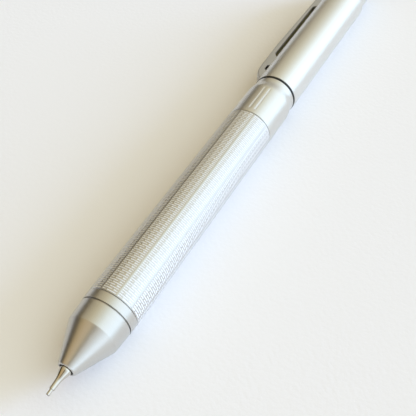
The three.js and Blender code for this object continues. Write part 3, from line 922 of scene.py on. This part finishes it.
# %% Lead retainer and lead sleeve
# The flare leaves less room than a plain cone, so the ring that holds the lead is small and far back.
RETAINER_R = 0.6
RETAINER_BORE = 0.3
RETAINER_LENGTH = 0.6
retainer_end = span("lead_retainer")[1]
retainer_front = retainer_end - RETAINER_LENGTH
retainer_outline = [
    (RETAINER_BORE, retainer_front),
    (RETAINER_R, retainer_front, 0.06),
    (RETAINER_R, retainer_end, 0.06),
    (RETAINER_BORE, retainer_end),
]
retainer = turned("lead_retainer_moulded", retainer_outline, sides=64, lean=lean_insert)
stands_for(retainer, "lead_retainer", black_plastic)

SLEEVE_R = 0.345
SLEEVE_BORE = 0.285
sleeve_front = nose_front - 5.2
sleeve_end = nose_front - 2.6
sleeve_outline = [
    (SLEEVE_BORE, sleeve_front, 0.02),
    (SLEEVE_R, sleeve_front, 0.03),
    (SLEEVE_R, sleeve_end),
    (SLEEVE_BORE, sleeve_end),
]
stands_for(turned("lead_sleeve_drawn", sleeve_outline, sides=64, lean=lean_insert), "lead_sleeve", nickel)

# %% [markdown]
# ## The clip
#
# The clip is folded from one strip of sheet into a channel that is open towards the barrel, and its two
# flanges are cut back along the middle so that it can bend. A folded channel is a cross-section carried
# along a path: at each place along the clip, a U-shaped ring of points goes round the sheet's outside and
# back round its inside, and the height of the back and the depth of the flanges change from place to
# place.

# %% The clip's measures
CLIP_SHEET = 0.6
CLIP_CORNER = 0.34
CLIP_CAMBER = 0.08
CLIP_SLOT = 0.72
CLIP_SHARP_DEG = 40
# How far the sheet's edges are eased, on the channel's outside and on its inside.
OUTER_EASE = 0.05
INNER_EASE = 0.04
# The folded nose stops this much behind the tip of the simple CAD nose.
NOSE_SET_BACK = 0.8
clip_low, clip_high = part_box("clip")
cad_clip_front, clip_end = span("clip")
clip_front = cad_clip_front + NOSE_SET_BACK
clip_half = (clip_high.z - clip_low.z) / 2 / MM
clip_peak = (axis_x - clip_low.x) / MM
clip_rest = UPPER_R - 0.02
clip_foot = math.sqrt(clip_rest ** 2 - clip_half ** 2)


def clip_heights(place):
    """The back's height and the flanges' lower edge at each place, by straight runs between key places.

    The tip is a nose that slopes in to the barrel. Behind it come a notch, the flanges' front foot, the
    long slot and the root's foot. An edge of 0 is a foot on the barrel, and 1 is the slot's full height."""
    along = place - clip_front
    back_at = [0, 0.25, 1.2, 2.2, 2.9, 4.5, 13.0, 37.3, 37.9, 38.3]
    back = clip_peak - np.array([1.5, 1.22, 0.62, 0.33, 0.24, 0.18, 0.0, 0.55, 0.7, 1.15])
    edge_at = [0, 2.7, 3.0, 4.6, 4.9, 8.5, 9.1, 9.6, 31.8, 32.3, 32.9, 38.3]
    edge = [0, 0, 0.62, 0.62, 0, 0, 0.6, 0.95, 0.9, 0.7, 0, 0]
    return np.interp(along, back_at, back), np.interp(along, edge_at, edge)


def clip_places():
    """Places along the clip, closer together where its outline turns."""
    turns = [0, 0.1, 0.25, 0.7, 1.2, 1.7, 2.2, 2.7, 2.8, 2.9, 3.0, 4.6, 4.7, 4.8, 4.9, 8.5, 8.7, 8.9,
             9.1, 9.3, 9.6, 31.8, 32.1, 32.3, 32.5, 32.7, 32.9, 37.3, 37.6, 37.9, 38.1, 38.3]
    even = np.linspace(0, clip_end - clip_front, 60)
    return clip_front + np.unique(np.concatenate([turns, even]))


print("the clip is", round(2 * clip_half, 2), "mm wide and", round(clip_end - clip_front, 1), "mm long")


# %% The clip's cross-section
def clip_section(back, raised):
    """A closed U-shaped ring of (height, side) points: outside over the back, then inside again.

    The outer corners are quarter circles, and the inner ones are sharp, as a tight fold leaves them. Across
    the back the height falls by camber (side / half)^2. A foot follows the barrel's round side, at a height
    of sqrt(rest^2 - side^2), so its inner edge stands higher than its outer edge."""
    arc = np.linspace(0, np.pi / 2, 7)
    half = clip_half
    inner = half - CLIP_SHEET
    corner_side = half - CLIP_CORNER + CLIP_CORNER * np.cos(arc)
    corner_drop = -CLIP_CORNER + CLIP_CORNER * np.sin(arc) - CLIP_CAMBER
    across = np.linspace(half - CLIP_CORNER, CLIP_CORNER - half, 9)[1:-1]
    bulge = -CLIP_CAMBER * (across / half) ** 2
    ones = np.ones_like(back)[:, None]
    back = back[:, None]
    outer_edge = clip_foot + (clip_rest + CLIP_SLOT - clip_foot) * raised[:, None]
    inner_foot = math.sqrt(clip_rest ** 2 - inner ** 2)
    inner_edge = inner_foot + (clip_rest + CLIP_SLOT - inner_foot) * raised[:, None]
    # Near the tip the back comes down almost to the barrel, so the corner and the sheet thin out there.
    room = np.clip((back - outer_edge) / (CLIP_CORNER + CLIP_CAMBER + 0.1), 0.2, 1)
    under = np.maximum(back - CLIP_SHEET, inner_edge + 0.05)
    columns = [
        (outer_edge + OUTER_EASE, half * ones),
        (back + corner_drop * room, corner_side * ones),
        (back + bulge * room, across * ones),
        (back + corner_drop[::-1] * room, -corner_side[::-1] * ones),
        (outer_edge + OUTER_EASE, -half * ones),
        (outer_edge + 0.01, -(half - OUTER_EASE) * ones),
        (inner_edge, -(inner + INNER_EASE) * ones),
        (inner_edge + INNER_EASE, -inner * ones),
        (under, -inner * ones),
        (under, inner * ones),
        (inner_edge + INNER_EASE, inner * ones),
        (inner_edge, (inner + INNER_EASE) * ones),
        (outer_edge + 0.01, (half - OUTER_EASE) * ones),
    ]
    height = np.concatenate([column[0] for column in columns], 1)
    side = np.concatenate([column[1] for column in columns], 1)
    return height, side


print("the clip's section has", clip_section(np.array([clip_peak]), np.zeros(1))[0].size, "points")

# %% Clip
def carried_clip():
    """The section carried along the clip: x = -height, y = place, z = side. Its two ends are still open."""
    place = clip_places()
    height, side = clip_section(*clip_heights(place))
    points = np.stack([-height, place[:, None] + 0 * height, side], -1)
    return mesh_from("clip_folded", to_frame(points), grid_faces(*points.shape[:2], False, True))


def close_ends(piece):
    """Fills the open ends of a carried section and turns its faces out again."""
    shape = bmesh.new()
    shape.from_mesh(piece.data)
    rims = [edge for edge in shape.edges if edge.is_boundary]
    bmesh.ops.holes_fill(shape, edges=rims, sides=0)
    bmesh.ops.triangulate(shape, faces=[face for face in shape.faces if len(face.verts) > 4])
    bmesh.ops.recalc_face_normals(shape, faces=shape.faces)
    shape.to_mesh(piece.data)
    shape.free()
    return smooth(piece, CLIP_SHARP_DEG)


def shade_inside(piece):
    """Gives the faces inside the channel, those lower than the sheet's underside, a dull brownish finish that
    paints the channel's shade.
    """
    count = len(piece.data.polygons)
    centre = np.zeros(count * 3)
    piece.data.polygons.foreach_get("center", centre)
    centre = (centre.reshape(-1, 3) - [axis_x, grip_front, axis_z]) / MM
    back, _ = clip_heights(centre[:, 1])
    beneath = -centre[:, 0] < back - CLIP_SHEET + 0.02
    between = np.abs(centre[:, 2]) < clip_half - CLIP_SHEET + 0.02
    piece.data.materials.append(channel_painted_shade)
    piece.data.polygons.foreach_set("material_index", (beneath & between).astype(np.int32))


clip_piece = carried_clip()
stands_for(close_ends(clip_piece), "clip", plated_sheet)
# The inside faces get a dull brownish finish: painted shade down in the channel.
shade_inside(clip_piece)

# %% [markdown]
# ## Floor and light
#
# The pen lies on plain white paper. Cool daylight comes in low and wide from the right, and the room
# behind on the left is dim and warm. A polished cylinder shows its surroundings as bands along its
# length, so the bands are set by how the surroundings change with direction round the pen's axis. The
# world is that one turn of colours. A wide, soft sun from the right, which reflections leave out, lights
# the paper and leaves the warm shadow on the left.


# %% Floor
FIBRE_MM = 0.9
FIBRE_DEPTH_MM = 0.1
FIBRE_STRENGTH = 0.4
PAPER_HALF = 6


def paper():
    """Uncoated white paper: matt, with a soft relief. Real fibres are finer, and 0.9 mm apart they show."""
    material, tree, shader = new_material("plain_white_paper", "f8f5f2", 0.0, 0.9)
    place = add(tree, "ShaderNodeTexCoord").outputs["Object"]
    fibre = add(tree, "ShaderNodeTexNoise", {"Vector": place, "Scale": 1 / (FIBRE_MM * MM), "Detail": 4.0})
    bump = add(tree, "ShaderNodeBump", {
        "Strength": FIBRE_STRENGTH, "Distance": FIBRE_DEPTH_MM * MM, "Height": fibre.outputs["Fac"],
    })
    tree.links.new(bump.outputs["Normal"], shader.inputs["Normal"])
    return material


def make_floor():
    """A square of paper at z = 0, wide enough that other views look down on it too."""
    half = PAPER_HALF
    corners = np.array([[-half, -half, 0], [half, -half, 0], [half, half, 0], [-half, half, 0]], float)
    floor = mesh_from("paper_floor", corners, np.array([[0, 1, 2, 3]]))
    finish(floor, paper())
    return floor


print("made", make_floor().name)

# %% World
WORLD_STRENGTH = 2.5
# How far a direction points along the pen, from -1 to 1: the front's colours give way to those behind over
# the first range, and both give way to the colours at the ends over the second.
FRONT_TO_BEHIND = (-0.35, 0.15)
SIDES_TO_ENDS = (0.68, 0.8)
# A place on a ramp is the angle from straight up, over 180 degrees, plus a half: 0 is left and 1 is right.
ROOM_BEHIND = [
    (0.0, "30271a"), (0.1, "1a1408"), (0.15, "5c4e2c"), (0.22, "857f70"), (0.31, "898066"),
    (0.43, "9e9780"), (0.56, "abafa4"), (0.64, "bec6c5"), (0.72, "c2ccd0"), (0.83, "c5cfd6"),
    (1.0, "c9dbe8"),
]
ROOM_IN_FRONT = [
    (0.0, "1c150a"), (0.1, "0c0803"), (0.18, "20180c"), (0.21, "8a764c"), (0.39, "92826a"),
    (0.515, "948463"), (0.54, "0c0804"), (0.59, "0c0804"), (0.615, "98907e"), (0.72, "959692"),
    (1.0, "d0dee9"),
]
ROOM_ENDS = [(0.0, "5c523e"), (0.5, "97958c"), (0.75, "bac0c1"), (1.0, "c9dbe8")]
WALL_COLOUR = "e6e5e1"


def make_world():
    """A world whose colour depends on the angle round the pen, atan2(x, z), and on y, front to back."""
    world = bpy.data.worlds.new("room_light")
    bpy.context.scene.world = world
    world.use_nodes = True
    tree = world.node_tree
    direction = add(tree, "ShaderNodeTexCoord").outputs["Generated"]
    split = add(tree, "ShaderNodeSeparateXYZ", {"Vector": direction})
    angle = add(tree, "ShaderNodeMath", {0: split.outputs["X"], 1: split.outputs["Z"]}, operation="ARCTAN2")
    turn = add(tree, "ShaderNodeMapRange", {
        "Value": angle.outputs["Value"], "From Min": -math.pi / 2, "From Max": math.pi / 2,
    }).outputs["Result"]
    behind = add(tree, "ShaderNodeValToRGB", {"Fac": turn}, stops=ROOM_BEHIND).outputs["Color"]
    front = add(tree, "ShaderNodeValToRGB", {"Fac": turn}, stops=ROOM_IN_FRONT).outputs["Color"]
    depth = add(tree, "ShaderNodeMapRange", {
        "Value": split.outputs["Y"], "From Min": FRONT_TO_BEHIND[0], "From Max": FRONT_TO_BEHIND[1],
    }, interpolation_type="SMOOTHSTEP").outputs["Result"]
    blend = add(tree, "ShaderNodeMix", {0: depth, 6: front, 7: behind}, data_type="RGBA").outputs[2]
    ends = add(tree, "ShaderNodeValToRGB", {"Fac": turn}, stops=ROOM_ENDS).outputs["Color"]
    steep = add(tree, "ShaderNodeMath", {0: split.outputs["Y"]}, operation="ABSOLUTE").outputs["Value"]
    at_end = add(tree, "ShaderNodeMapRange", {
        "Value": steep, "From Min": SIDES_TO_ENDS[0], "From Max": SIDES_TO_ENDS[1],
    }, interpolation_type="SMOOTHSTEP").outputs["Result"]
    blend = add(tree, "ShaderNodeMix", {0: at_end, 6: blend, 7: ends}, data_type="RGBA").outputs[2]
    background = tree.nodes["Background"]
    tree.links.new(blend, background.inputs["Color"])
    background.inputs["Strength"].default_value = WORLD_STRENGTH
    # Past the paper's edge the camera sees a plain pale wall, which lights nothing.
    wall = add(tree, "ShaderNodeBackground", {"Color": linear(WALL_COLOUR)})
    seen = add(tree, "ShaderNodeLightPath").outputs["Is Camera Ray"]
    mixed = add(tree, "ShaderNodeMixShader", {
        0: seen, 1: background.outputs["Background"], 2: wall.outputs["Background"],
    })
    tree.links.new(mixed.outputs["Shader"], tree.nodes["World Output"].inputs["Surface"])
    return world


print("made", make_world().name)

# %% Sky lamp
SKY_ENERGY = 3.65
SKY_WIDTH_DEG = 22
SKY_COLOUR = "a6c4ff"
SKY_TOWARDS_DEG = 45
SKY_HEIGHT_DEG = 12


def make_sky_lamp():
    """The low blue sky outside as a wide, soft sun. The metal already mirrors it in the world's ramps, so
    the lamp itself is left out of reflections."""
    data = bpy.data.lights.new("low_sky", "SUN")
    data.energy = SKY_ENERGY
    data.angle = math.radians(SKY_WIDTH_DEG)
    data.color = linear(SKY_COLOUR)[:3]
    lamp = bpy.data.objects.new("low_sky", data)
    bpy.context.scene.collection.objects.link(lamp)
    lamp.rotation_euler = (math.radians(90 - SKY_HEIGHT_DEG), 0, math.radians(90 + SKY_TOWARDS_DEG))
    lamp.visible_glossy = False
    return lamp


print("made", make_sky_lamp().name)

# %% View settings
bpy.context.scene.view_settings.view_transform = "Standard"
